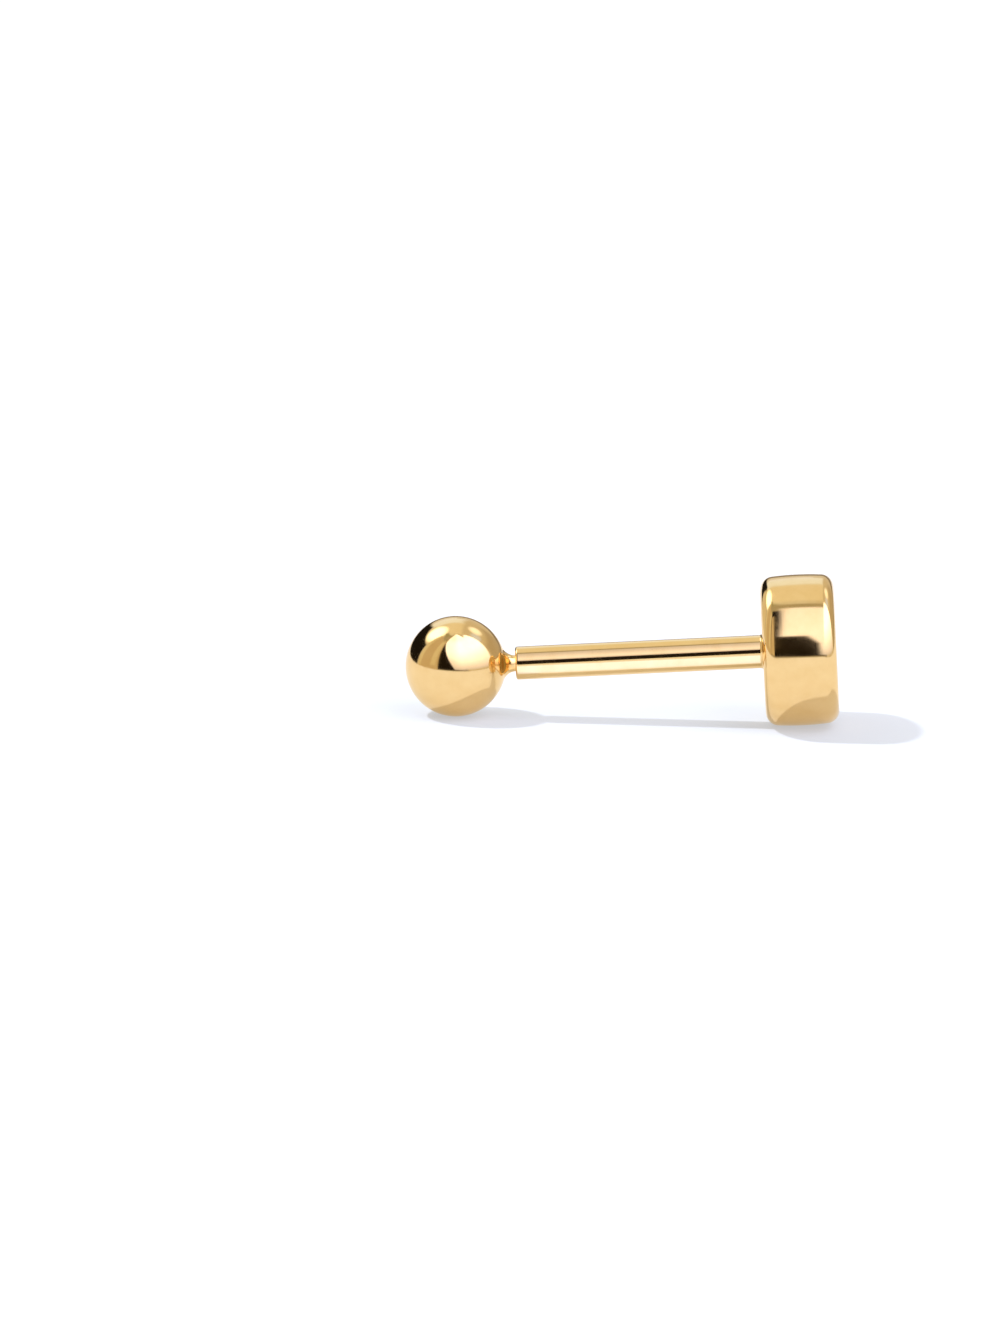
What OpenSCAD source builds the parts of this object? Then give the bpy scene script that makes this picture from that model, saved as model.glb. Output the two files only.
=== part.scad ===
// Screw back stud earring: a ball on a threaded pin, and a thick disc with a hollow post.
// Both are turned parts, so each is one profile revolved about the earring's axis.
// The earring lies on the plane z = 0, touching it with the ball and the disc's side.
// The axis runs from the ball to the disc, along +X and slightly up, in the plane y = 0.

/* [Ball front] */
// Diameter of the ball
ball_d = 3; // [2.6:0.1:3.6]
// Radius of the hollow curve that runs from the ball into the neck
neck_curve = 0.38; // [0.3:0.02:0.42]
// Diameter of the plain neck behind the ball
neck_d = 0.5; // [0.5:0.02:0.62]
// Length of the plain neck that is hidden in the post, up to the first thread
relief_length = 0.3; // [0.2:0.05:0.5]

/* [Thread] */
// Diameter over the crests of the pin's thread
thread_d = 0.68; // [0.66:0.01:0.7]
// Distance from one crest to the next
thread_pitch = 0.175; // [0.15:0.005:0.2]
// Number of turns on the pin
thread_turns = 16; // [8:1:18]
// Chamfer at the pin's tip
tip_chamfer = 0.06; // [0.04:0.01:0.1]
// Radial gap between the crests and the post's bore
thread_gap = 0.02; // [0.01:0.01:0.03]

/* [Post] */
// Diameter of the hollow post
post_d = 1; // [1:0.02:1.2]
// Length of the post from its mouth to the disc
post_length = 7.35; // [6:0.05:10]
// Rounding of the rim at the post's mouth
mouth_round = 0.08; // [0.02:0.01:0.08]
// Radius of the solder fillet where the post meets the disc
solder_fillet = 0.08; // [0.05:0.01:0.15]

/* [Disc] */
// Diameter of the disc
disc_d = 4.5; // [4:0.1:6]
// Thickness of the disc
disc_thickness = 2.2; // [1.5:0.1:3]
// Rounding of the disc's two edges
disc_round = 0.4; // [0.3:0.05:0.6]
// Radius of the slight barrel curve that polishing leaves on the disc's side
side_curve = 9; // [6:1:20]

/* [Hidden] */
$fn = 96;

// Polished yellow gold, the same on both pieces
gold = [0.94, 0.78, 0.47];

ball_r = ball_d / 2;
neck_r = neck_d / 2;
post_r = post_d / 2;
disc_r = disc_d / 2;

// The thread is a 60 degree V with a flat of an eighth of the pitch on its crests
// and of a quarter of the pitch in its roots
crest_flat = thread_pitch / 8;
root_flat = thread_pitch / 4;
flank = (thread_pitch - crest_flat - root_flat) / 2;
crest_r = thread_d / 2;
root_r = crest_r - flank / tan(30);

// Places along the axis, counted from the post's mouth towards the disc
thread_at = relief_length;
thread_end = thread_at + thread_turns * thread_pitch;
pin_end = thread_end + tip_chamfer;
disc_at = post_length;
disc_end = disc_at + disc_thickness;

// The hollow curve touches the ball, and runs out in the neck just at the post's mouth.
// Its circle reaches a hair into the ball's, so that the two outlines surely meet.
hair = 0.00002;
curve_r = neck_r + neck_curve;
ball_reach = sqrt(pow(ball_r + neck_curve - hair, 2) - pow(curve_r, 2));

// The blind bore takes the whole pin, and ends in the cone that a drill leaves
bore_r = crest_r + thread_gap;
tip_room = 0.15;
bore_end = pin_end + tip_room;
drill_cone = bore_r * tan(31);
mouth_chamfer = 0.03;

// The disc's side is an arc about side_centre. The rounding of each edge touches that arc
// from inside, at side_angle from the disc's middle, and it touches the flat face too.
side_centre = disc_r - side_curve;
middle_at = disc_at + disc_thickness / 2;
half_width = disc_thickness / 2 - disc_round;
side_angle = asin(half_width / (side_curve - disc_round));
edge_r = side_centre + (side_curve - disc_round) * cos(side_angle);

// The slope at which the ball and a round outline of the disc's half section both touch
// the plane, from the outline's own radius and the place of its centre
function touch_slope(centre_r, centre_along, outline_r) =
    atan2(centre_r, centre_along)
    - asin((ball_r - outline_r) / sqrt(pow(centre_r, 2) + pow(centre_along, 2)));

// The disc rests on its side's arc, or on its inner edge's rounding if the slope is steeper
side_slope = touch_slope(side_centre, ball_reach + middle_at, side_curve);
edge_slope = touch_slope(edge_r, ball_reach + disc_at + disc_round, disc_round);
rest_slope = side_slope < side_angle ? side_slope : edge_slope;

// The ends of the earring along X from under the ball's centre, and its middle
outer_along = ball_reach + disc_end - disc_round;
low_x = -ball_r;
high_x = outer_along * cos(rest_slope) + edge_r * sin(rest_slope) + disc_round;
middle_x = (low_x + high_x) / 2;

// A small overlap, so that areas that meet in a profile join into one
join = 0.01;

// Revolves a profile, whose x is the radius and whose y is the place along the axis
module turned() {
    translate([-middle_x, 0, ball_r])
        rotate([0, 90 - rest_slope, 0])
            translate([0, 0, ball_reach])
                rotate_extrude()
                    children();
}

// A strip of the profile from radius 0 to r, and from a to b along the axis
module core(r, a, b) {
    translate([0, a])
        square([r, b - a]);
}

// One point list of the threaded pin's outline: root, flank, crest and flank for each turn
function turn_points(start) = [
    [root_r, start],
    [crest_r, start + flank],
    [crest_r, start + flank + crest_flat],
    [root_r, start + 2 * flank + crest_flat]
];

// The pin's half section. Its thread is closed rings, each a pitch from the next.
module pin_section() {
    turns = [for (i = [0 : thread_turns - 1]) each turn_points(thread_at + i * thread_pitch)];
    base = [[0, thread_at - join], [root_r, thread_at - join]];
    tip = [[root_r, thread_end], [root_r - tip_chamfer, pin_end], [0, pin_end]];
    polygon(concat(base, turns, tip));
}

// The ball's half section
module ball_section() {
    intersection() {
        translate([0, -ball_reach])
            circle(ball_r);
        core(ball_r, -ball_reach - ball_r, 0);
    }
}

// The hollow curve: the corner between ball and neck, less a circle that touches both
module curve_section() {
    difference() {
        polygon([[0, -ball_reach], [curve_r, 0], [0, 0]]);
        translate([curve_r, 0])
            circle(neck_curve);
    }
}

// Ball, neck and threaded pin in one piece
module ball_front() {
    color(gold)
        turned()
            union() {
                ball_section();
                curve_section();
                core(neck_r, -join, thread_at);
                pin_section();
            }
}

// The disc's half section: its core, the rounding of its edges, and the arc of its side
module disc_section() {
    core(edge_r, disc_at, disc_end);
    for (at = [middle_at - half_width, middle_at + half_width])
        translate([edge_r, at])
            circle(disc_round + hair);
    intersection() {
        translate([side_centre, middle_at])
            circle(side_curve);
        side_wedge();
    }
}

// The part of the side between the two edges' centres, widened along lines from side_centre
module side_wedge() {
    outer_r = disc_r + join;
    outer_half = half_width + (outer_r - edge_r) * tan(side_angle);
    polygon([
        [edge_r, middle_at - half_width],
        [outer_r, middle_at - outer_half],
        [outer_r, middle_at + outer_half],
        [edge_r, middle_at + half_width]
    ]);
}

// The post's half section, with the outer corner of its mouth rounded
module post_section() {
    core(post_r - mouth_round, 0, disc_at + join);
    core(post_r, mouth_round, disc_at + join);
    translate([post_r - mouth_round, mouth_round])
        circle(mouth_round);
}

// The solder in the corner between post and disc
module solder_section() {
    difference() {
        translate([post_r - join, disc_at - solder_fillet])
            square([solder_fillet + join, solder_fillet + join]);
        translate([post_r + solder_fillet, disc_at - solder_fillet])
            circle(solder_fillet);
    }
}

// The blind bore for the pin, with a chamfer at its mouth and a drilled cone at its end
module bore_section() {
    polygon([
        [0, -join],
        [bore_r + mouth_chamfer + join, -join],
        [bore_r, mouth_chamfer],
        [bore_r, bore_end],
        [0, bore_end + drill_cone]
    ]);
}

// Disc and hollow post in one piece
module disc_back() {
    color(gold)
        turned()
            difference() {
                union() {
                    disc_section();
                    post_section();
                    solder_section();
                }
                bore_section();
            }
}

ball_front();
disc_back();
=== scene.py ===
import math

import bpy
import numpy as np
from mathutils import Matrix, Vector


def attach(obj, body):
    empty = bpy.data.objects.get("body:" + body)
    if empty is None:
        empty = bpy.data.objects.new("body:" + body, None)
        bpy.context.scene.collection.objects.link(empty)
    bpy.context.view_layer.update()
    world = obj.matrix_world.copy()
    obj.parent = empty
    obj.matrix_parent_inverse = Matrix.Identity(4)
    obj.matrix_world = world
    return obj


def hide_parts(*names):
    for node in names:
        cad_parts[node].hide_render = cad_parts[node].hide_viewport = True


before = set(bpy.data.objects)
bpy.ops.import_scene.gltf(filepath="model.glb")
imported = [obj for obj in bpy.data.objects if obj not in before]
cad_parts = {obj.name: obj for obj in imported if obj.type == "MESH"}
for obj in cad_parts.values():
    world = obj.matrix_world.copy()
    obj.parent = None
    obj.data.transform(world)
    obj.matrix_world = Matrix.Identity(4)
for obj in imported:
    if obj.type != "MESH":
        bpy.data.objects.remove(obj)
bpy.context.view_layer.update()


# The ball front. A solid gold ball is soldered to a thin pin, whose end is cut with a fine
# screw thread. All of it is turned about one axis: ball, hollow curve, plain neck, thread and
# a bevelled tip. The buffing wheel leaves it bright, with faint lines that run round it.

# Sizes are in millimetres, and places are counted along the axis from the post's mouth.
MM = 0.001
BALL_R = 1.5
NECK_R = 0.25
NECK_CURVE = 0.38
CURVE_R = NECK_R + NECK_CURVE
# The hollow curve's circle reaches a hair into the ball's, as it does in the solid.
HAIR = 0.00002
BALL_REACH = math.sqrt((BALL_R + NECK_CURVE - HAIR) ** 2 - CURVE_R**2)

THREAD_AT = 0.3
THREAD_PITCH = 0.175
THREAD_TURNS = 16
THREAD_END = THREAD_AT + THREAD_TURNS * THREAD_PITCH
CREST_R = 0.34
CREST_FLAT = THREAD_PITCH / 8
ROOT_FLAT = THREAD_PITCH / 4
FLANK = (THREAD_PITCH - CREST_FLAT - ROOT_FLAT) / 2
ROOT_R = CREST_R - FLANK / math.tan(math.radians(30))
NECK_END = THREAD_AT - 0.03
ROOT_AT = THREAD_AT + 0.015
SWELL_AT = THREAD_AT + 0.02
TIP_BEVEL = 0.06
PIN_END = THREAD_END + TIP_BEVEL

# The disc's side, which the earring rests on: its width, its rounded edges and its barrel.
POST_LENGTH = 7.35
DISC_R = 2.25
DISC_WIDTH = 2.2
EDGE_ROUND = 0.4
SIDE_CURVE = 9
SIDE_CENTRE = DISC_R - SIDE_CURVE
HALF_WIDTH = DISC_WIDTH / 2 - EDGE_ROUND
SIDE_ANGLE = math.degrees(math.asin(HALF_WIDTH / (SIDE_CURVE - EDGE_ROUND)))
EDGE_R = SIDE_CENTRE + (SIDE_CURVE - EDGE_ROUND) * math.cos(math.radians(SIDE_ANGLE))


def touch_slope(centre_r, centre_along, outline_r):
    """The slope at which the ball and a round outline of the disc both touch the table: that
    of the line between their centres, less the arc sine of their radii's difference over it.
    """
    distance = math.hypot(centre_r, centre_along)
    lean = math.atan2(centre_r, centre_along) - math.asin((BALL_R - outline_r) / distance)
    return math.degrees(lean)


# The axis rises at the slope of the line that the ball and the disc rest on.
REST_SLOPE = touch_slope(SIDE_CENTRE, BALL_REACH + POST_LENGTH + DISC_WIDTH / 2, SIDE_CURVE)
if REST_SLOPE > SIDE_ANGLE:
    REST_SLOPE = touch_slope(EDGE_R, BALL_REACH + POST_LENGTH + EDGE_ROUND, EDGE_ROUND)
OUTER_ALONG = BALL_REACH + POST_LENGTH + DISC_WIDTH - EDGE_ROUND
HIGH_X = (
    OUTER_ALONG * math.cos(math.radians(REST_SLOPE))
    + EDGE_R * math.sin(math.radians(REST_SLOPE))
    + EDGE_ROUND
)
MIDDLE_X = (HIGH_X - BALL_R) / 2
AXIS = np.array([math.cos(math.radians(REST_SLOPE)), 0, math.sin(math.radians(REST_SLOPE))])
ACROSS = np.array([0, 1, 0])
UPRIGHT = np.cross(AXIS, ACROSS)
MOUTH = np.array([-MIDDLE_X, 0, BALL_R]) + BALL_REACH * AXIS


def line(start, end, rows=5):
    """Points from start to end, each (along, radius), packed towards both ends by a cosine."""
    share = (1 - np.cos(np.linspace(0, np.pi, rows + 1))) / 2
    return np.array(start) + share[:, None] * (np.array(end) - np.array(start))


def arc(centre, radius, first, last, rows):
    """Points on a circle about centre, (along, radius), from one angle to another in degrees."""
    angle = np.radians(np.linspace(first, last, rows + 1))
    return np.array(centre) + radius * np.stack([np.cos(angle), np.sin(angle)], 1)


def profile(*runs):
    """The runs of points joined into one outline, with each shared end point kept once."""
    joined = [runs[0]] + [run[1:] for run in runs[1:]]
    return np.concatenate(joined)


SKIN = 0.006


def inset(outline):
    """The outline moved in by SKIN, each point along the mean normal of its two sides, so that
    the fine surface stays inside the solid that it stands for. The ends stay on the axis.
    """
    side = np.diff(outline, axis=0)
    side /= np.linalg.norm(side, axis=1)[:, None]
    side = np.concatenate([[[0, 1]], side, [[0, -1]]])
    mean = side[:-1] + side[1:]
    mean /= np.linalg.norm(mean, axis=1)[:, None]
    moved = outline + SKIN * np.stack([mean[:, 1], -mean[:, 0]], 1)
    moved[[0, -1], 1] = 0
    return moved


SHARP_EDGE = 28


def turned(name, outline, columns, relief=None):
    """A closed surface of revolution from an outline that starts and ends on the axis.

    Row i and column j stand at the outline's place along the axis, at its radius plus the
    relief there, turned by j shares of a full turn. The two ends are single points.
    """
    along, radius = inset(outline).T
    turn = np.arange(columns) * 2 * np.pi / columns
    out = np.repeat(radius[1:-1, None], columns, 1)
    if relief is not None:
        out = out + relief(along[1:-1, None], turn[None, :])
    ring = np.cos(turn)[:, None] * ACROSS + np.sin(turn)[:, None] * UPRIGHT
    body = MOUTH + along[1:-1, None, None] * AXIS + out[:, :, None] * ring
    ends = MOUTH + along[[0, -1], None] * AXIS
    points = np.concatenate([body.reshape(-1, 3), ends]) * MM

    rows = len(outline) - 2
    index = np.arange(rows * columns).reshape(rows, columns)
    right = np.roll(index, -1, 1)
    quads = np.stack([index[:-1], index[1:], right[1:], right[:-1]], -1).reshape(-1, 4)
    first, last = rows * columns, rows * columns + 1
    fan = np.stack([np.full(columns, first), index[0], right[0]], -1)
    fan_end = np.stack([np.full(columns, last), right[-1], index[-1]], -1)
    faces = quads.tolist() + fan.tolist() + fan_end.tolist()

    mesh = bpy.data.meshes.new(name)
    mesh.from_pydata(points.tolist(), [], faces)
    mesh.validate()
    mesh.polygons.foreach_set("use_smooth", np.ones(len(mesh.polygons), bool))
    mesh.set_sharp_from_angle(angle=math.radians(SHARP_EDGE))
    mesh.update()
    piece = bpy.data.objects.new(name, mesh)
    bpy.context.scene.collection.objects.link(piece)
    return piece


def screw_thread(along, turn):
    """Height of a right-hand thread over its root: a 60 degree tooth whose place moves along
    by one pitch in each full turn. It swells in over the first turn by a smooth step, three
    times the square less twice the cube, and it runs out at 45 degrees at the tip.
    """
    place = (along - THREAD_AT - THREAD_PITCH * turn / (2 * np.pi)) % THREAD_PITCH
    from_middle = np.abs(place - THREAD_PITCH / 2)
    tooth = np.clip((CREST_FLAT / 2 + FLANK - from_middle) / FLANK, 0, 1)
    grown = np.clip((along - SWELL_AT) / THREAD_PITCH, 0, 1)
    swell = grown * grown * (3 - 2 * grown)
    height = (CREST_R - ROOT_R) * tooth * swell
    threaded = (along > SWELL_AT) & (along < THREAD_END)
    return np.where(threaded, np.minimum(height, np.maximum(THREAD_END - along, 0)), 0)


TOUCH = math.degrees(math.atan2(CURVE_R, BALL_REACH))
THREAD_ROWS = 20 * THREAD_TURNS

ball_outline = profile(
    arc((-BALL_REACH, 0), BALL_R, 180, TOUCH, 110),
    arc((0, CURVE_R), NECK_CURVE, 180 + TOUCH, 270, 20),
    line((0, NECK_R), (NECK_END, NECK_R)),
    line((NECK_END, NECK_R), (ROOT_AT, ROOT_R), 3),
    np.stack([np.linspace(ROOT_AT, THREAD_END, THREAD_ROWS), np.full(THREAD_ROWS, ROOT_R)], 1),
    line((THREAD_END, ROOT_R), (PIN_END, ROOT_R - TIP_BEVEL)),
    line((PIN_END, ROOT_R - TIP_BEVEL), (PIN_END, 0)),
)
ball_front = turned("ball_on_threaded_pin", ball_outline, 128, screw_thread)


def linear(code):
    """An sRGB hex colour as linear red, green, blue and alpha."""
    shares = [int(code[i : i + 2], 16) / 255 for i in (1, 3, 5)]
    curve = [c / 12.92 if c <= 0.04045 else ((c + 0.055) / 1.055) ** 2.4 for c in shares]
    return (*curve, 1.0)


def add_node(tree, kind, inputs=None, **settings):
    """Adds a node, sets its properties, and links or sets each of its inputs."""
    node = tree.nodes.new(kind)
    for name, value in settings.items():
        setattr(node, name, value)
    for key, value in (inputs or {}).items():
        socket = node.inputs[key]
        if isinstance(value, bpy.types.NodeSocket):
            tree.links.new(value, socket)
        else:
            socket.default_value = value
    return node


# Buffed 14 karat yellow gold: a warm mirror. Buffing on a spinning spindle leaves lines round
# the axis, drawn here as coarse as they need to be to show, and a slight waviness under them.
# The compound leaves soft cloudy areas a few tenths of a millimetre across, a little duller.
GOLD = "#F3D197"
GOLD_DULL = "#EFCB8E"
CLOUD_SIZE = 0.5
LINE_GAP = 0.04
LINE_DEPTH = 0.0001
WAVE_SIZE = 1.2
WAVE_DEPTH = 0.0024
ROUGH_CLEAR = 0.05
ROUGH_CLOUD = 0.05
ROUGH_LINE = 0.03

gold = bpy.data.materials.new("Buffed 14 karat yellow gold")
gold.use_nodes = True
tree = gold.node_tree
tree.nodes.clear()
place = add_node(tree, "ShaderNodeTexCoord").outputs["Object"]
along = add_node(
    tree,
    "ShaderNodeVectorMath",
    {0: place, 1: tuple(AXIS / (LINE_GAP * MM))},
    operation="DOT_PRODUCT",
).outputs["Value"]
lines = add_node(
    tree,
    "ShaderNodeTexNoise",
    {"W": along, "Scale": 1.0, "Detail": 3.0, "Roughness": 0.6},
    noise_dimensions="1D",
).outputs[0]
clouds = add_node(
    tree,
    "ShaderNodeTexNoise",
    {"Vector": place, "Scale": 1 / (CLOUD_SIZE * MM), "Detail": 4.0, "Roughness": 0.55},
).outputs[0]
waves = add_node(
    tree,
    "ShaderNodeTexNoise",
    {"Vector": place, "Scale": 1 / (WAVE_SIZE * MM), "Detail": 1.0},
).outputs[0]
dull = add_node(
    tree, "ShaderNodeMapRange", {"Value": clouds, "From Min": 0.35, "From Max": 0.7}
).outputs[0]
brushed = add_node(
    tree,
    "ShaderNodeMapRange",
    {"Value": lines, "From Min": 0.3, "From Max": 0.7, "To Min": 0.0, "To Max": ROUGH_LINE},
).outputs[0]
rough = add_node(
    tree, "ShaderNodeMath", {0: dull, 1: ROUGH_CLOUD, 2: brushed}, operation="MULTIPLY_ADD"
).outputs[0]
rough = add_node(tree, "ShaderNodeMath", {0: rough, 1: ROUGH_CLEAR}, operation="ADD").outputs[0]
tint = add_node(
    tree,
    "ShaderNodeMix",
    {"Factor": dull, 6: linear(GOLD), 7: linear(GOLD_DULL)},
    data_type="RGBA",
).outputs[2]
wavy = add_node(
    tree, "ShaderNodeBump", {"Height": waves, "Strength": 1.0, "Distance": WAVE_DEPTH * MM}
).outputs[0]
lined = add_node(
    tree,
    "ShaderNodeBump",
    {"Height": lines, "Strength": 1.0, "Distance": LINE_DEPTH * MM, "Normal": wavy},
).outputs[0]
surface = add_node(
    tree,
    "ShaderNodeBsdfPrincipled",
    {"Base Color": tint, "Metallic": 1.0, "Roughness": rough, "Normal": lined},
)
add_node(tree, "ShaderNodeOutputMaterial", {"Surface": surface.outputs["BSDF"]})

ball_front.data.materials.append(gold)
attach(ball_front, "front")
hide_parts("ball_front")


# The disc back. A thick disc is turned from bar, its edges rounded over and its side left with
# the slight barrel that buffing gives. A thin hollow post, whose bore takes the pin, is soldered
# square into its middle, and the solder fills the corner.

POST_R = 0.5
MOUTH_ROUND = 0.08
MOUTH_BEVEL = 0.03
BORE_R = 0.36
TIP_ROOM = 0.15
BORE_END = PIN_END + TIP_ROOM
DRILL_CONE = BORE_R * math.tan(math.radians(31))
SOLDER = 0.08
SOCKET_DEPTH = 0.2
DISC_END = POST_LENGTH + DISC_WIDTH
MIDDLE_AT = (POST_LENGTH + DISC_END) / 2

post_outline = profile(
    line((BORE_END + DRILL_CONE, 0), (BORE_END, BORE_R)),
    line((BORE_END, BORE_R), (MOUTH_BEVEL, BORE_R), 12),
    line((MOUTH_BEVEL, BORE_R), (0, BORE_R + MOUTH_BEVEL)),
    line((0, BORE_R + MOUTH_BEVEL), (0, POST_R - MOUTH_ROUND)),
    arc((MOUTH_ROUND, POST_R - MOUTH_ROUND), MOUTH_ROUND, 180, 90, 10),
    line((MOUTH_ROUND, POST_R), (POST_LENGTH - SOLDER, POST_R), 24),
    line((POST_LENGTH - SOLDER, POST_R), (POST_LENGTH + SOCKET_DEPTH, POST_R), 2),
    line((POST_LENGTH + SOCKET_DEPTH, POST_R), (POST_LENGTH + SOCKET_DEPTH, 0)),
)
disc_outline = profile(
    line((POST_LENGTH - SOLDER, 0), (POST_LENGTH - SOLDER, POST_R)),
    arc((POST_LENGTH - SOLDER, POST_R + SOLDER), SOLDER, 270, 360, 8),
    line((POST_LENGTH, POST_R + SOLDER), (POST_LENGTH, EDGE_R), 10),
    arc((MIDDLE_AT - HALF_WIDTH, EDGE_R), EDGE_ROUND, 180, 90 + SIDE_ANGLE, 36),
    arc((MIDDLE_AT, SIDE_CENTRE), SIDE_CURVE, 90 + SIDE_ANGLE, 90 - SIDE_ANGLE, 40),
    arc((MIDDLE_AT + HALF_WIDTH, EDGE_R), EDGE_ROUND, 90 - SIDE_ANGLE, 0, 36),
    line((DISC_END, EDGE_R), (DISC_END, 0), 10),
)
hollow_post = turned("hollow_post", post_outline, 96)
disc = turned("thick_disc", disc_outline, 160)
for piece in (hollow_post, disc):
    piece.data.materials.append(gold)
    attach(piece, "back")
    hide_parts("disc_back")


# The table: a sheet of matt white card under the earring. It glows a little, so that its
# shadows stay as pale as in a photograph exposed for a pure white ground. The glow that the
# gold mirrors is warm, as light that has been from card to metal and back.

CARD_R = 0.6
CARD_SIDES = 64
CARD_WHITE = "#A2A5A8"
CARD_GLOW = "#ADB1B8"
WARM_GLOW = "#AFAA9E"

corner = np.arange(CARD_SIDES) * 2 * np.pi / CARD_SIDES
card_mesh = bpy.data.meshes.new("white_card")
card_mesh.from_pydata(
    np.stack([CARD_R * np.cos(corner), CARD_R * np.sin(corner), 0 * corner], 1).tolist(),
    [],
    [list(range(CARD_SIDES))],
)
card = bpy.data.objects.new("white_card", card_mesh)
bpy.context.scene.collection.objects.link(card)
paper = bpy.data.materials.new("Matt white card")
paper.use_nodes = True
tree = paper.node_tree
tree.nodes.clear()
seen = add_node(tree, "ShaderNodeLightPath").outputs["Is Camera Ray"]
glow = add_node(
    tree,
    "ShaderNodeMix",
    {"Factor": seen, 6: linear(WARM_GLOW), 7: linear(CARD_GLOW)},
    data_type="RGBA",
).outputs[2]
surface = add_node(
    tree,
    "ShaderNodeBsdfPrincipled",
    {
        "Base Color": linear(CARD_WHITE),
        "Roughness": 0.9,
        "Specular IOR Level": 0.0,
        "Emission Color": glow,
        "Emission Strength": 1.0,
    },
)
add_node(tree, "ShaderNodeOutputMaterial", {"Surface": surface.outputs["BSDF"]})
card_mesh.materials.append(paper)


# The surroundings: soft boxes of white cloth, a tan card reflector and black flags, on stands
# round the table. They are far enough away that each is a patch of the world.

# A patch is given in degrees on one of two charts. On the first, x is the bearing, 0 towards
# the camera and positive towards the disc, and y is the height. On the second, x is the angle
# out of the upright plane through the camera, and y is the angle in it, from the table up.


def charts(tree, way):
    """The places (x, y, 1) of a direction of length 1 on both charts.

    The bearing is the arc tangent of X over minus Y, and the height the arc sine of Z. The
    angle out of the plane is the arc sine of X, and that in it the arc tangent of Z over
    minus Y.
    """
    part = add_node(tree, "ShaderNodeSeparateXYZ", {"Vector": way}).outputs
    ahead = add_node(
        tree, "ShaderNodeMath", {0: part["Y"], 1: -1.0}, operation="MULTIPLY"
    ).outputs[0]
    angles = (
        ("ARCTAN2", {0: part["X"], 1: ahead}),
        ("ARCSINE", {0: part["Z"]}),
        ("ARCSINE", {0: part["X"]}),
        ("ARCTAN2", {0: part["Z"], 1: ahead}),
    )
    bearing, height, out, turn = (
        add_node(tree, "ShaderNodeMath", values, operation=operation).outputs[0]
        for operation, values in angles
    )
    degrees = (180 / math.pi, 180 / math.pi, 0)
    places = []
    for x, y in ((bearing, height), (out, turn)):
        radians = add_node(tree, "ShaderNodeCombineXYZ", {"X": x, "Y": y}).outputs[0]
        places.append(
            add_node(
                tree,
                "ShaderNodeVectorMath",
                {0: radians, 1: degrees, 2: (0, 0, 1)},
                operation="MULTIPLY_ADD",
            ).outputs[0]
        )
    return places


def inside(tree, place, corners, soft):
    """1 inside a convex shape on a chart and 0 outside, its edges soft degrees wide.

    The distance from a side is the place's dot product with that side's inward normal, less
    the side's own. The least of the distances counts.
    """
    points = np.array(corners, float)
    side = np.roll(points, -1, 0) - points
    normal = np.stack([-side[:, 1], side[:, 0]], 1)
    normal /= np.linalg.norm(normal, axis=1)[:, None]
    if np.sum(normal[0] * (points.mean(0) - points[0])) < 0:
        normal = -normal
    least = None
    for (x, y), start in zip(normal, points):
        reach = (float(x), float(y), float(-x * start[0] - y * start[1]))
        distance = add_node(
            tree, "ShaderNodeVectorMath", {0: place, 1: reach}, operation="DOT_PRODUCT"
        ).outputs["Value"]
        if least is None:
            least = distance
        else:
            least = add_node(
                tree, "ShaderNodeMath", {0: least, 1: distance}, operation="MINIMUM"
            ).outputs[0]
    return add_node(
        tree,
        "ShaderNodeMapRange",
        {"Value": least, "From Min": -soft / 2, "From Max": soft / 2},
        interpolation_type="SMOOTHSTEP",
    ).outputs[0]


def patch(tree, light, colour, place, corners, soft):
    """The light with a convex shape on a chart painted over it in one colour."""
    return add_node(
        tree,
        "ShaderNodeMix",
        {"Factor": inside(tree, place, corners, soft), 6: light, 7: (*colour, 1.0)},
        data_type="RGBA",
    ).outputs[2]


def toward(bearing, height):
    """The direction at a bearing and height in degrees."""
    b, h = math.radians(bearing), math.radians(height)
    return Vector((math.sin(b) * math.cos(h), -math.cos(b) * math.cos(h), math.sin(h)))


def round_box(tree, light, colour, way, centre, full, end):
    """The light with a round soft box over it: all of its colour within full degrees of its
    centre, fading to none at end degrees. Nearness is the cosine of the angle between.
    """
    near = add_node(
        tree,
        "ShaderNodeVectorMath",
        {0: way, 1: tuple(toward(*centre))},
        operation="DOT_PRODUCT",
    ).outputs["Value"]
    limits = {
        "Value": near,
        "From Min": math.cos(math.radians(end)),
        "From Max": math.cos(math.radians(full)),
    }
    mask = add_node(
        tree, "ShaderNodeMapRange", limits, interpolation_type="SMOOTHSTEP"
    ).outputs[0]
    return add_node(
        tree, "ShaderNodeMix", {"Factor": mask, 6: light, 7: (*colour, 1.0)}, data_type="RGBA"
    ).outputs[2]


def front_box(tree, first):
    """The front soft box's strength: its rise from the table up, times its fall towards the
    ceiling, times its fall towards the left.
    """
    part = add_node(tree, "ShaderNodeSeparateXYZ", {"Vector": first}).outputs
    rise = add_node(
        tree,
        "ShaderNodeMapRange",
        {"Value": part["Y"], "From Min": 2, "From Max": 46, "To Min": 0.85, "To Max": 2.75},
    ).outputs[0]
    fall = add_node(
        tree,
        "ShaderNodeMapRange",
        {"Value": part["Y"], "From Min": 62, "From Max": 88, "To Min": 1.0, "To Max": 0.66},
        interpolation_type="SMOOTHSTEP",
    ).outputs[0]
    across = add_node(
        tree,
        "ShaderNodeMapRange",
        {"Value": part["X"], "From Min": -18, "From Max": 18, "To Min": 0.74, "To Max": 1.0},
        interpolation_type="SMOOTHSTEP",
    ).outputs[0]
    risen = add_node(tree, "ShaderNodeMath", {0: rise, 1: fall}, operation="MULTIPLY").outputs[0]
    return add_node(
        tree, "ShaderNodeMath", {0: risen, 1: across}, operation="MULTIPLY"
    ).outputs[0]


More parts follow.
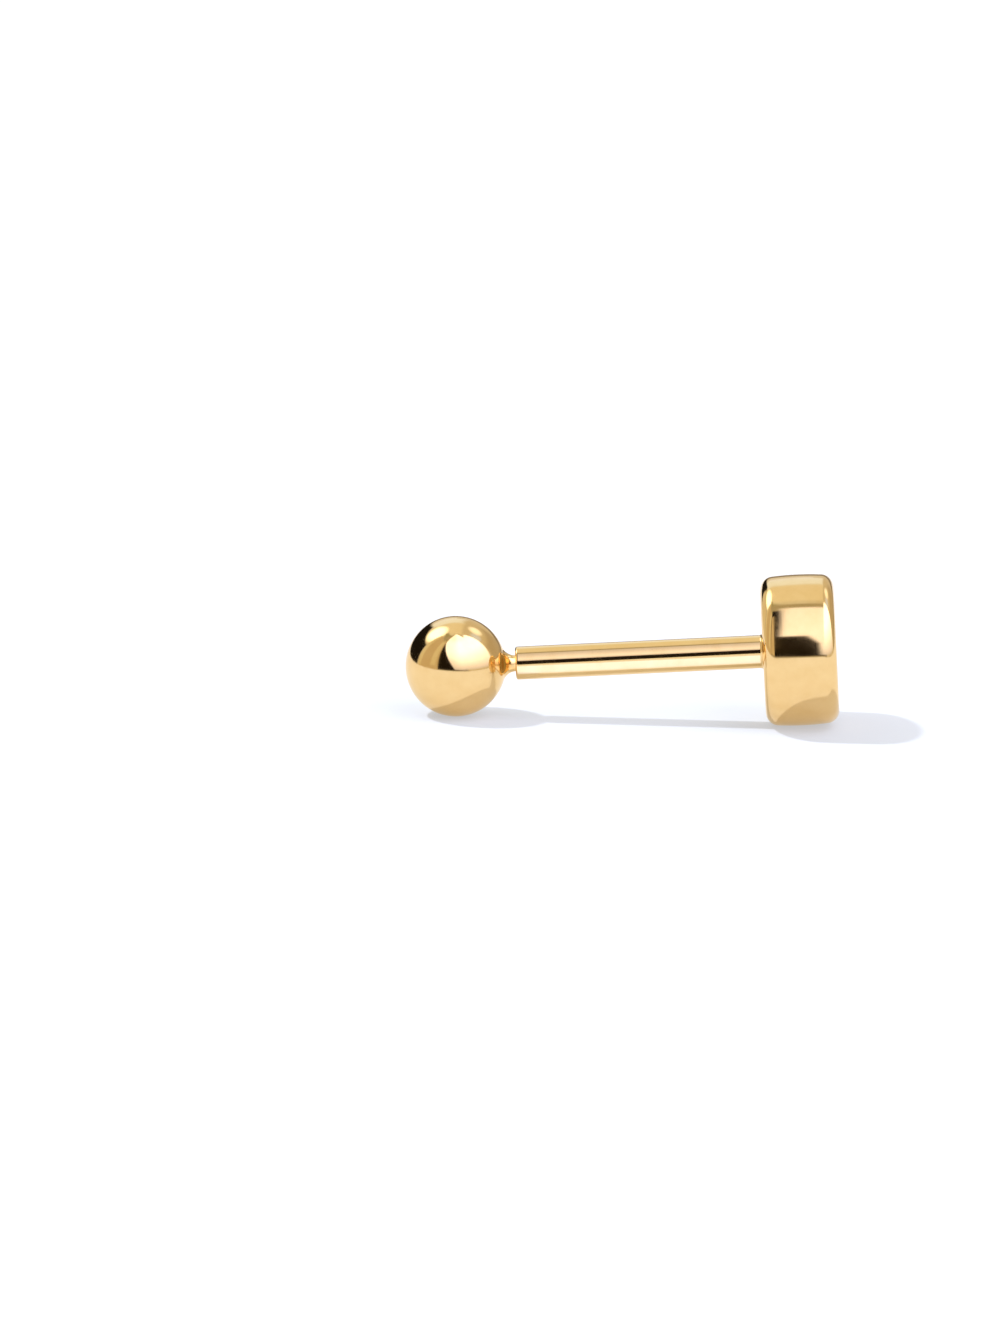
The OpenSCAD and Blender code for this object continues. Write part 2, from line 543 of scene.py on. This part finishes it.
def box_share(tree, first, second):
    """How much of the front box the disc and post see: all but a flag low in the middle, a
    narrow gap at its top, and all that is left of it. The greater of the middle's and the
    right side's shares, times what the flag leaves.
    """
    out = add_node(tree, "ShaderNodeSeparateXYZ", {"Vector": second}).outputs["X"]
    middle = inside(tree, second, [(-9.6, 3), (22, 3), (22, 79.5), (-9.6, 79.5)], 3)
    right = inside(tree, first, [(0, 3), (95, 3), (95, 84), (0, 84)], 5)
    beyond = add_node(
        tree,
        "ShaderNodeMapRange",
        {"Value": out, "From Min": 9, "From Max": 15},
        interpolation_type="SMOOTHSTEP",
    ).outputs[0]
    right = add_node(
        tree, "ShaderNodeMath", {0: right, 1: beyond}, operation="MULTIPLY"
    ).outputs[0]
    share = add_node(
        tree, "ShaderNodeMath", {0: middle, 1: right}, operation="MAXIMUM"
    ).outputs[0]
    flag = inside(tree, second, [(-30, 33), (0.5, 33), (6, 21), (8, -3), (-30, -3)], 3)
    open_part = add_node(
        tree, "ShaderNodeMath", {0: 1.0, 1: flag}, operation="SUBTRACT"
    ).outputs[0]
    return add_node(
        tree, "ShaderNodeMath", {0: share, 1: open_part}, operation="MULTIPLY"
    ).outputs[0]


def held_box(tree, first, second, most, at_top):
    """The front box's strength, held in the middle to most, and to at_top times that at its
    top. The held strength plus the rest of it, by how far right the place is.
    """
    part = add_node(tree, "ShaderNodeSeparateXYZ", {"Vector": second}).outputs
    strength = front_box(tree, first)
    limits = {
        "Value": part["Y"],
        "From Min": 42,
        "From Max": 76,
        "To Min": most,
        "To Max": most * at_top,
    }
    limit = add_node(tree, "ShaderNodeMapRange", limits).outputs[0]
    held = add_node(
        tree, "ShaderNodeMath", {0: strength, 1: limit}, operation="MINIMUM"
    ).outputs[0]
    beyond = add_node(
        tree,
        "ShaderNodeMapRange",
        {"Value": part["X"], "From Min": 8, "From Max": 16},
        interpolation_type="SMOOTHSTEP",
    ).outputs[0]
    rest = add_node(
        tree, "ShaderNodeMath", {0: strength, 1: held}, operation="SUBTRACT"
    ).outputs[0]
    return add_node(
        tree, "ShaderNodeMath", {0: beyond, 1: rest, 2: held}, operation="MULTIPLY_ADD"
    ).outputs[0]


# The front soft box's slightly cool white. Then how bright it is at most to the post and to the
# disc, and the top's share of that.
BOX_WHITE = (0.98, 0.97, 1.16)
POST_BOX = (1.3, 0.6)
DISC_BOX = (1.52, 0.93)

CEILING_LEFT = (0.82, 0.80, 0.70)
CEILING_RIGHT = (0.72, 0.66, 0.52)
CEILING_MIDDLE = (0.93, 0.88, 0.72)
WALL_LEFT = (1.0, 1.06, 1.2)
WALL_BEHIND = (1.0, 1.1, 1.2)
SKIRTING = (0.30, 0.25, 0.18)
WALL_RIGHT = (0.55, 0.48, 0.36)
OLIVE_SHADE = (0.41, 0.40, 0.24)
TAN_REFLECTOR = (0.66, 0.55, 0.37)
TAN_FOLD = (0.80, 0.73, 0.52)
BLACK_FLAG = (0.012, 0.010, 0.008)
BLACK_SPACE = (0.014, 0.010, 0.006)
BOX_GAP = (0.46, 0.42, 0.30)

world = bpy.data.worlds.new("Soft boxes and flags")
bpy.context.scene.world = world
world.use_nodes = True
tree = world.node_tree
tree.nodes.clear()
way = add_node(tree, "ShaderNodeTexCoord").outputs["Generated"]
first, second = charts(tree, way)
part = add_node(tree, "ShaderNodeSeparateXYZ", {"Vector": way}).outputs

# The ceiling, paler on the left than on the right.
side = add_node(
    tree,
    "ShaderNodeMapRange",
    {"Value": part["X"], "From Min": -0.25, "From Max": 0.25},
    interpolation_type="SMOOTHSTEP",
).outputs[0]
light = add_node(
    tree,
    "ShaderNodeMix",
    {"Factor": side, 6: (*CEILING_LEFT, 1.0), 7: (*CEILING_RIGHT, 1.0)},
    data_type="RGBA",
).outputs[2]

# Pale walls behind, the ceiling above the post, and a dark skirting low behind, which draws the
# fine dark line along each top edge.
for colour, place, corners, soft in (
    (WALL_LEFT, first, [(-182, 22), (-150, 24), (-150, 40), (-182, 42)], 8),
    (CEILING_MIDDLE, second, [(-14, 92), (9, 92), (9, 132), (-14, 132)], 8),
    (WALL_BEHIND, second, [(-24, 131), (7, 131), (7, 154), (-24, 154)], 8),
    (SKIRTING, second, [(-75, 167), (75, 167), (75, 190), (-75, 190)], 4),
    (WALL_RIGHT, first, [(100, 4), (150, 4), (150, 34), (100, 34)], 12),
):
    light = patch(tree, light, colour, place, corners, soft)

# Small round soft boxes at the back right and high at the back left.
for colour, centre, full, end in (
    ((0.8, 0.9, 1.2), (106, 55), 3, 13),
    ((1.5, 1.5, 1.5), (135, 51), 3, 13),
    ((2.8, 2.8, 2.8), (-120, 53), 9, 22),
):
    light = round_box(tree, light, colour, way, centre, full, end)

# The olive shade over the tan reflector, that reflector on the left with its paler folds, the
# black flag at the back left, the black space between the reflector and the front soft box, and
# the gap over that box.
for colour, place, corners, soft in (
    (
        OLIVE_SHADE,
        first,
        [(-112, 70), (-75, 66), (-40, 60), (-40, 72), (-75, 80), (-112, 76)],
        5,
    ),
    (TAN_REFLECTOR, first, [(-97, -4), (-40, -4), (-40, 63), (-97, 67)], 5),
    (TAN_FOLD, first, [(-97, 2), (-89, 2), (-89, 62), (-97, 62)], 4),
    (TAN_FOLD, first, [(-62, 8), (-49, 8), (-49, 60), (-62, 60)], 5),
    (BLACK_FLAG, first, [(-175, 0), (-100, 0), (-100, 33), (-150, 33)], 4),
    (BLACK_SPACE, first, [(-41.5, 1), (30, 1), (30, 83), (-46, 83), (-46, 61)], 4),
    (BOX_GAP, second, [(-24, 76), (13, 76), (13, 86.5), (-24, 86.5)], 3),
):
    light = patch(tree, light, colour, place, corners, soft)

# The front soft box, as the disc and post see it.
box = add_node(
    tree,
    "ShaderNodeVectorMath",
    {0: held_box(tree, first, second, *POST_BOX), 1: BOX_WHITE},
    operation="MULTIPLY",
).outputs[0]
light = add_node(
    tree,
    "ShaderNodeMix",
    {"Factor": box_share(tree, first, second), 6: light, 7: box},
    data_type="RGBA",
).outputs[2]

# The camera itself sees plain white.
seen = add_node(tree, "ShaderNodeLightPath").outputs["Is Camera Ray"]
white = add_node(tree, "ShaderNodeBackground", {"Color": (1, 1, 1, 1), "Strength": 1.05})
lit = add_node(tree, "ShaderNodeBackground", {"Color": light, "Strength": 1.0})
both = add_node(
    tree, "ShaderNodeMixShader", {"Fac": seen, 1: lit.outputs[0], 2: white.outputs[0]}
)
add_node(tree, "ShaderNodeOutputWorld", {"Surface": both.outputs[0]})


# The lamps. Each lights one piece only, and adds to the surroundings what that piece sees more
# of than the others do. They are flat panels that the camera doesn't see.


def lamp_for(name, piece, centre, spot, facing, width, height):
    """A rectangular lamp. Returns its node tree, and the direction of each of its points from
    the piece's centre. A colour of 1 gives a brightness of 1: the power over pi times the area.
    """
    data = bpy.data.lights.new(name, "AREA")
    data.shape = "RECTANGLE"
    data.size, data.size_y = width, height
    data.energy = math.pi * width * height
    data.use_nodes = True
    data.node_tree.nodes.clear()
    lamp = bpy.data.objects.new(name, data)
    lamp.location = spot
    lamp.rotation_euler = facing.to_track_quat("-Z", "Y").to_euler()
    lamp.visible_camera = False
    bpy.context.scene.collection.objects.link(lamp)
    lit_pieces = bpy.data.collections.new(name)
    lit_pieces.objects.link(piece)
    lamp.light_linking.receiver_collection = lit_pieces
    point = add_node(data.node_tree, "ShaderNodeNewGeometry").outputs["Position"]
    away = add_node(
        data.node_tree,
        "ShaderNodeVectorMath",
        {0: point, 1: tuple(centre)},
        operation="SUBTRACT",
    ).outputs[0]
    unit = add_node(
        data.node_tree, "ShaderNodeVectorMath", {0: away}, operation="NORMALIZE"
    ).outputs[0]
    return data.node_tree, unit


def shine(tree, colour, strength=1.0):
    """Ends a lamp's node tree with its colour and strength."""
    light = add_node(tree, "ShaderNodeEmission", {"Color": colour, "Strength": strength})
    add_node(tree, "ShaderNodeOutputLight", {"Surface": light.outputs[0]})


LAMP_AWAY = 1.0
LAMP_WIDTH = 2.7
DARK = (0.0, 0.0, 0.0, 1.0)
ball_centre = Vector((-MIDDLE_X * MM, 0, BALL_R * MM))
disc_centre = Vector(tuple((MOUTH + MIDDLE_AT * AXIS) * MM))
post_centre = Vector(tuple((MOUTH + 0.5 * POST_LENGTH * AXIS) * MM))
front = toward(-16, 42)

# The front soft box reaches further left for the ball, down to a tall black wedge: what it
# wants of the box, less what the world has already.
tree, unit = lamp_for(
    "front_box_for_ball",
    ball_front,
    ball_centre,
    ball_centre + LAMP_AWAY * front,
    -front,
    LAMP_WIDTH,
    LAMP_WIDTH,
)
first, second = charts(tree, unit)
wedge_cut = [(-45, 61), (-17, 24), (-2, 3), (60, 3), (60, 120), (-45, 120)]
wanted = inside(tree, first, wedge_cut, 3)
for other in (
    inside(tree, second, [(-80, 3), (80, 3), (80, 90), (-80, 90)], 4),
    front_box(tree, first),
):
    wanted = add_node(
        tree, "ShaderNodeMath", {0: wanted, 1: other}, operation="MULTIPLY"
    ).outputs[0]
there = add_node(
    tree,
    "ShaderNodeMath",
    {0: box_share(tree, first, second), 1: held_box(tree, first, second, *POST_BOX)},
    operation="MULTIPLY",
).outputs[0]
missing = add_node(
    tree, "ShaderNodeMath", {0: wanted, 1: there}, operation="SUBTRACT"
).outputs[0]
missing = add_node(tree, "ShaderNodeMath", {0: missing, 1: 0.0}, operation="MAXIMUM").outputs[0]
shine(tree, (*BOX_WHITE, 1.0), missing)

# The disc sees the front soft box brighter than the post does, and the tan reflector reach
# nearly to that box.
tree, unit = lamp_for(
    "reflector_for_disc",
    disc,
    disc_centre,
    disc_centre + LAMP_AWAY * front,
    -front,
    LAMP_WIDTH,
    LAMP_WIDTH,
)
first, second = charts(tree, unit)
panel = add_node(
    tree,
    "ShaderNodeMath",
    {
        0: inside(tree, second, [(-46, 2), (-13, 2), (-13, 66), (-46, 66)], 3),
        1: inside(tree, first, [(-41, 2), (20, 2), (20, 80), (-41, 80)], 4),
    },
    operation="MULTIPLY",
).outputs[0]
more = add_node(
    tree,
    "ShaderNodeMath",
    {
        0: held_box(tree, first, second, *DISC_BOX),
        1: held_box(tree, first, second, *POST_BOX),
    },
    operation="SUBTRACT",
).outputs[0]
missing = add_node(
    tree, "ShaderNodeMath", {0: box_share(tree, first, second), 1: more}, operation="MULTIPLY"
).outputs[0]
box = add_node(
    tree, "ShaderNodeVectorMath", {0: missing, 1: BOX_WHITE}, operation="MULTIPLY"
).outputs[0]
mixed = add_node(
    tree, "ShaderNodeMix", {"Factor": panel, 6: box, 7: (*TAN_REFLECTOR, 1.0)}, data_type="RGBA"
).outputs[2]
shine(tree, mixed)

# A pale wall at the back left hides most of the black flag from the disc.
WALL_FOR_DISC = (0.78, 0.72, 0.56)
back_left = toward(-120, 16)
tree, unit = lamp_for(
    "wall_for_disc",
    disc,
    disc_centre,
    disc_centre + LAMP_AWAY * back_left,
    -back_left,
    1.4,
    1.0,
)
wall = [(-101, 0), (-142, 0), (-142, 32), (-101, 32)]
shine(tree, patch(tree, DARK, WALL_FOR_DISC, charts(tree, unit)[0], wall, 4))

# A card low in front of the post covers the top of the flag for it.
low_front = toward(-3, 30)
tree, unit = lamp_for(
    "card_for_post",
    hollow_post,
    post_centre,
    post_centre + LAMP_AWAY * low_front,
    -low_front,
    0.7,
    0.4,
)
first, second = charts(tree, unit)
unseen = add_node(
    tree, "ShaderNodeMath", {0: 1.0, 1: box_share(tree, first, second)}, operation="SUBTRACT"
).outputs[0]
band = inside(tree, second, [(-12, 26), (12, 26), (12, 50), (-12, 50)], 3)
missing = add_node(
    tree, "ShaderNodeMath", {0: band, 1: unseen}, operation="MULTIPLY"
).outputs[0]
shine(tree, (*BOX_WHITE, 1.0), missing)

# The warm light inside the post's mouth, which the neck mirrors.
tree, unit = lamp_for(
    "light_in_mouth",
    ball_front,
    ball_centre,
    Vector(tuple((MOUTH - 0.01 * AXIS) * MM)),
    Vector(tuple(-AXIS)),
    2 * BORE_R * MM,
    2 * BORE_R * MM,
)
shine(tree, (0.36, 0.24, 0.08, 1.0))

# The bright strip of card in front of the post, which lights its lower half. It fades towards
# the foot of the post.
STRIP_NEAR, STRIP_FAR, STRIP_LENGTH, STRIP_OVER_CARD = 0.9, 9.5, 30, 0.02
STRIP_COLOUR = (0.35, 0.55, 1.25, 1.0)
tree, unit = lamp_for(
    "strip_for_post",
    hollow_post,
    post_centre,
    Vector((post_centre.x, -(STRIP_NEAR + STRIP_FAR) / 2 * MM, STRIP_OVER_CARD * MM)),
    Vector((0, 0, 1)),
    STRIP_LENGTH * MM,
    (STRIP_FAR - STRIP_NEAR) * MM,
)
turn = add_node(
    tree, "ShaderNodeSeparateXYZ", {"Vector": charts(tree, unit)[1]}
).outputs["Y"]
fade = add_node(
    tree,
    "ShaderNodeMapRange",
    {"Value": turn, "From Min": -80, "From Max": -50},
    interpolation_type="SMOOTHSTEP",
).outputs[0]
shine(tree, STRIP_COLOUR, fade)

# The lamp that draws the shadow: small and far, high on the left.
sun_data = bpy.data.lights.new("shadow_lamp", "SUN")
sun_data.energy = 2.6
sun_data.color = (0.95, 1.0, 1.15)
sun_data.angle = math.radians(3.5)
sun = bpy.data.objects.new("shadow_lamp", sun_data)
bpy.context.scene.collection.objects.link(sun)
sun.visible_glossy = False
sun.rotation_euler = toward(-100, 56.5).to_track_quat("Z", "Y").to_euler()


# The camera: a long lens, a little above the card, tipped slightly as in the photograph. Its
# aim puts the ball's centre at its pixel.

PIXELS_PER_MM = 33.7
FRAME_WIDTH, FRAME_HEIGHT = 1000, 1333
BALL_PIXEL = (455.7, 666.1)
CAMERA_HEIGHT = math.radians(12)
CAMERA_TIP = math.radians(1.5)
CAMERA_AWAY = 800
SENSOR = 36

level = np.array([1.0, 0, 0])
above = np.array([0, math.sin(CAMERA_HEIGHT), math.cos(CAMERA_HEIGHT)])
back = np.array([0, -math.cos(CAMERA_HEIGHT), math.sin(CAMERA_HEIGHT)])
right = math.cos(CAMERA_TIP) * level + math.sin(CAMERA_TIP) * above
up = math.cos(CAMERA_TIP) * above - math.sin(CAMERA_TIP) * level
aim = (
    np.array([-MIDDLE_X, 0, BALL_R])
    + (FRAME_WIDTH / 2 - BALL_PIXEL[0]) / PIXELS_PER_MM * right
    - (FRAME_HEIGHT / 2 - BALL_PIXEL[1]) / PIXELS_PER_MM * up
)
lens = bpy.data.cameras.new("long_lens")
lens.sensor_width = SENSOR
lens.lens = SENSOR * CAMERA_AWAY * PIXELS_PER_MM / FRAME_HEIGHT
camera = bpy.data.objects.new("long_lens", lens)
bpy.context.scene.collection.objects.link(camera)
turn = Matrix((right, up, back)).transposed().to_4x4()
camera.matrix_world = Matrix.Translation((aim + CAMERA_AWAY * back) * MM) @ turn
bpy.context.scene.camera = camera
bpy.context.scene.view_settings.view_transform = "Standard"
